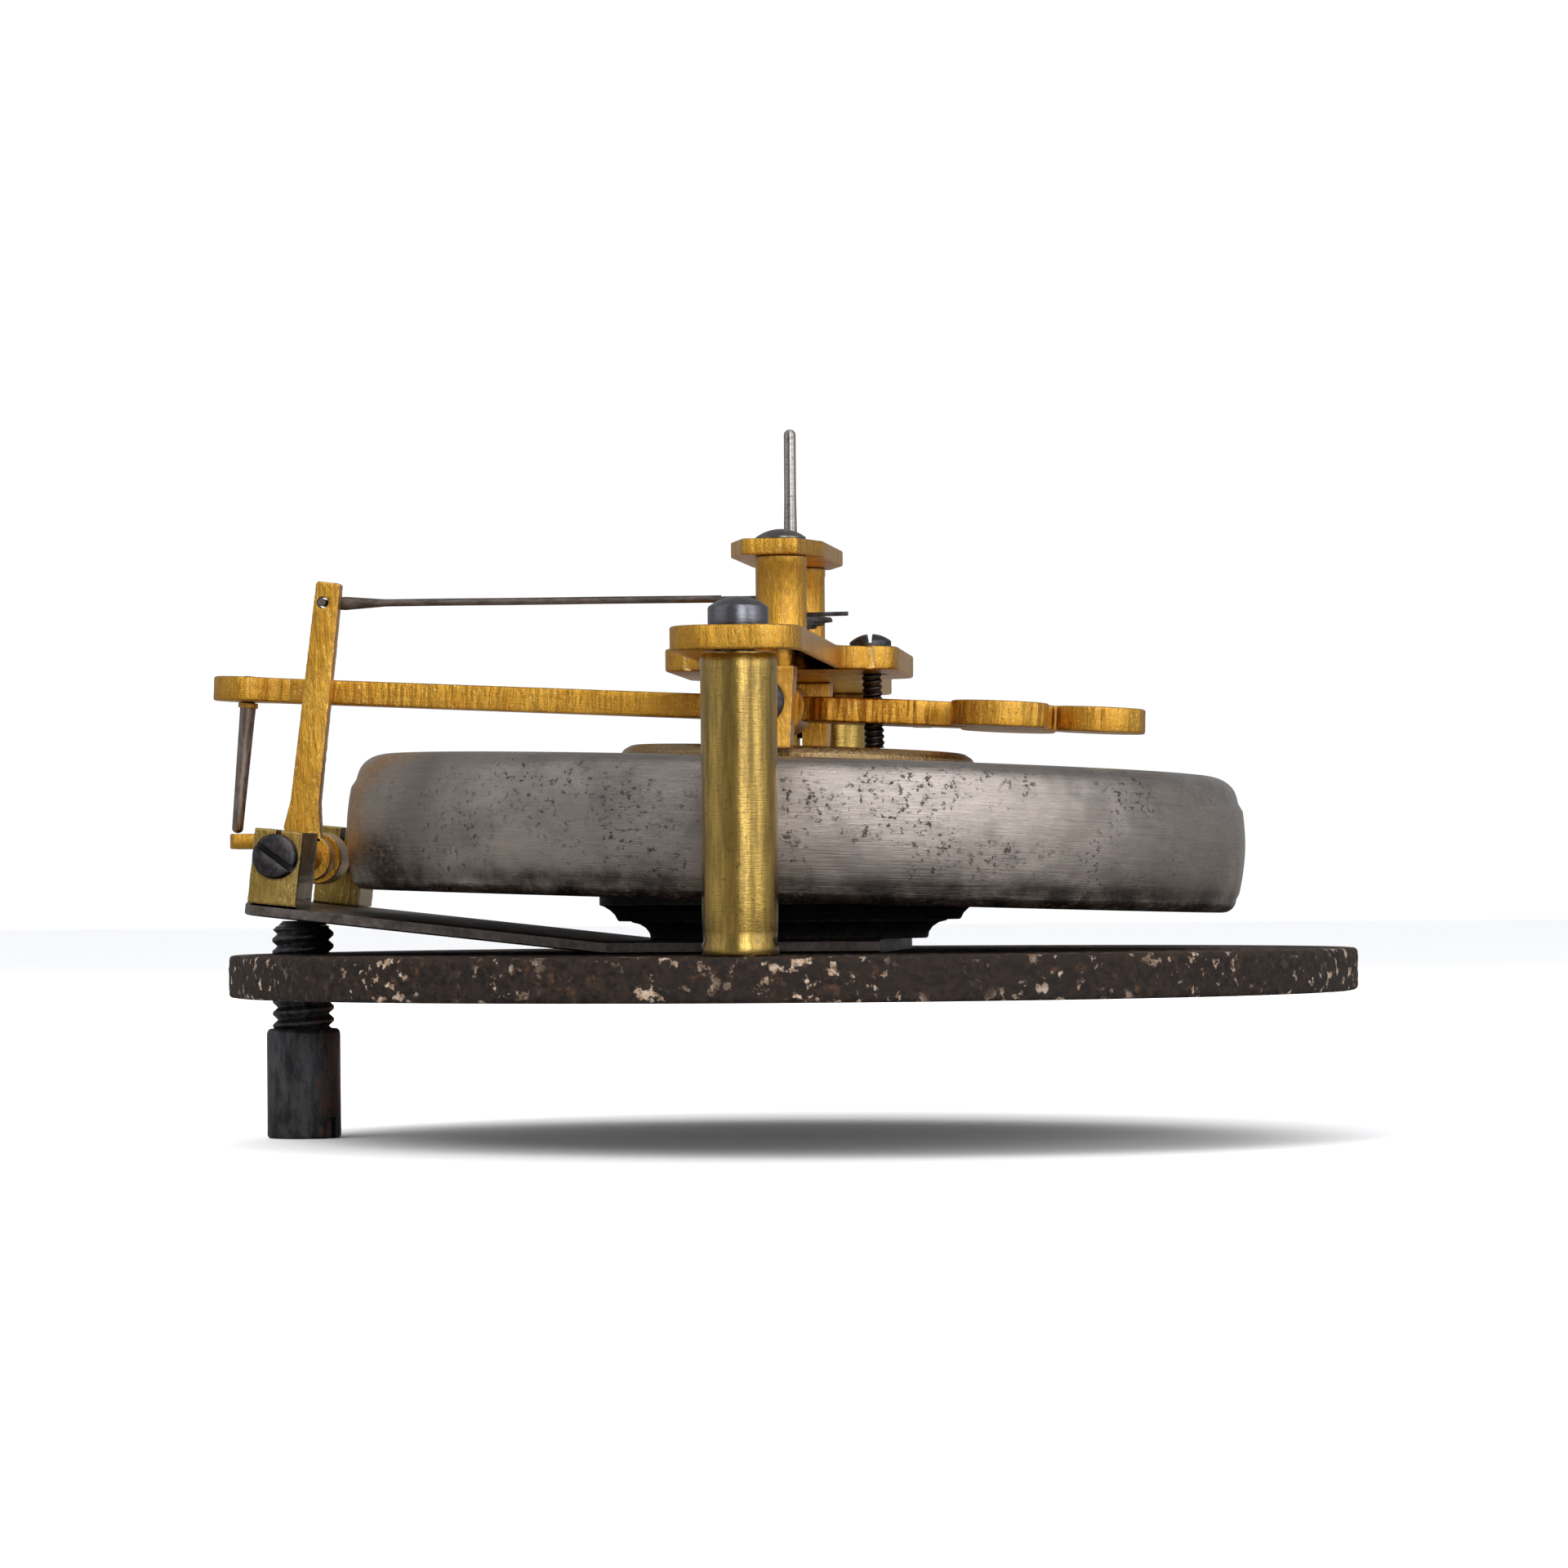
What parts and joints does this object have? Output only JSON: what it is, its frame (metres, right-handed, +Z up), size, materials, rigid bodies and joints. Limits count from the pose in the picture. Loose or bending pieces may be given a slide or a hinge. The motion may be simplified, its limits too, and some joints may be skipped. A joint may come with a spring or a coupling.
{
  "type": "aneroid barometer movement",
  "caption": "Antique aneroid barometer movement: vacuum capsule, lever, bell crank, link wire and chain turn a central pointer arbor above a round base plate.",
  "frame": {"origin": "centre of the base plate's underside, on the axis of the pointer arbor", "axes": "+X along the main lever away from the link end, +Y from the front pillar to the rear pillar, +Z up along the pointer arbor"},
  "size_m": [0.0746, 0.074, 0.0458],
  "materials": {
    "gilt_brass": "lacquered, rolled and milled surfaces",
    "pillar_brass": "turned, tarnished",
    "rusty_iron": "dark, rusted, specks of old paint",
    "spring_steel": "mottled, dull",
    "screw_steel": "dark, oil-blackened",
    "polished_steel": "polished",
    "blued_steel": "blue-black with some rust",
    "wire_steel": "drawn wire, dull",
    "nickel_silver": "horizontally brushed, stained and pitted",
    "black_foot": "matt black"
  },
  "bodies": {
    "frame": {"base_plate": "rusty_iron", "front_pillar": "pillar_brass", "rear_pillar": "pillar_brass", "pillar_foot_screws": "screw_steel", "bridge_plate": "gilt_brass", "bridge_cap_screws": "polished_steel", "top_cock": "gilt_brass", "cock_pillar_front": "gilt_brass", "cock_pillar_rear": "gilt_brass", "cock_screws": "polished_steel", "lever_block_front": "gilt_brass", "lever_block_rear": "gilt_brass", "lever_block_screws": "screw_steel", "lever_pivot_screws": "screw_steel", "tongue_root": "spring_steel", "tongue_screws": "screw_steel", "hairspring": "blued_steel", "hairspring_stud": "gilt_brass", "capsule_cup": "nickel_silver", "capsule_diaphragm": "nickel_silver", "capsule_spring": "spring_steel", "capsule_foot": "black_foot", "capsule_fixing_screw": "screw_steel"},
    "capsule_top": {"capsule_crown": "gilt_brass", "capsule_stud": "polished_steel"},
    "main_lever": {"lever_shaft": "gilt_brass", "lever_arm": "gilt_brass", "drop_pin": "wire_steel", "drop_pin_collar": "gilt_brass", "contact_screw": "screw_steel"},
    "tongue": {"tongue_blade": "spring_steel", "crank_block_front": "gilt_brass", "crank_block_rear": "gilt_brass", "crank_pivot_screws": "screw_steel"},
    "bell_crank": {"crank_shaft": "gilt_brass", "crank_bar": "gilt_brass", "crank_fork": "gilt_brass"},
    "link": {"link_wire": "wire_steel", "chain": "wire_steel"},
    "arbor": {"pointer_arbor": "polished_steel", "chain_drum": "gilt_brass", "chain_wrap": "wire_steel", "hairspring_collet": "gilt_brass"},
    "adjuster": {"adjusting_screw": "blued_steel"}
  },
  "joints": [
    {"name": "crank_pivot", "type": "hinge", "parent": "tongue", "child": "bell_crank", "pos_m": [-0.03125, 0, 0.00897], "axis": [0, 1, 0], "range_deg": [-7.51, 7.51]},
    {"name": "lever_pivot", "type": "hinge", "parent": "frame", "child": "main_lever", "pos_m": [-0.0006, 0, 0.0184], "axis": [0, 1, 0], "range_deg": [-1.13, 1.13]},
    {"name": "crown_travel", "type": "slide", "parent": "frame", "child": "capsule_top", "axis": [0.0349, 0, 0.9994], "range_m": [-0.0001183, 0.0001183]},
    {"name": "link_eye", "type": "hinge", "parent": "bell_crank", "child": "link", "pos_m": [-0.0302, 0, 0.0255], "axis": [0, 1, 0], "range_deg": [-7.87, 7.87]},
    {"name": "arbor_turn", "type": "hinge", "parent": "frame", "child": "arbor", "pos_m": [0, 0, 0.025], "axis": [0, 0, 1], "range_deg": [-147.74, 147.74]},
    {"name": "tongue_flex", "type": "hinge", "parent": "frame", "child": "tongue", "pos_m": [-0.0105, 0, 0.0031], "axis": [0, 1, 0], "range_deg": [-1.32, 1.32]},
    {"name": "adjust_travel", "type": "slide", "parent": "frame", "child": "adjuster", "axis": [0, 0, 1], "range_m": [-0.0005, 0.0005]}
  ],
  "couplings": [
    {"joint": "crank_pivot", "follows": "lever_pivot", "ratio": 6.6239},
    {"joint": "crown_travel", "follows": "lever_pivot", "m_per_rad": -0.00598},
    {"joint": "link_eye", "follows": "lever_pivot", "ratio": -6.9418},
    {"joint": "arbor_turn", "follows": "lever_pivot", "ratio": 130.35},
    {"joint": "adjust_travel", "follows": "tongue_flex", "m_per_rad": 0.0217}
  ]
}
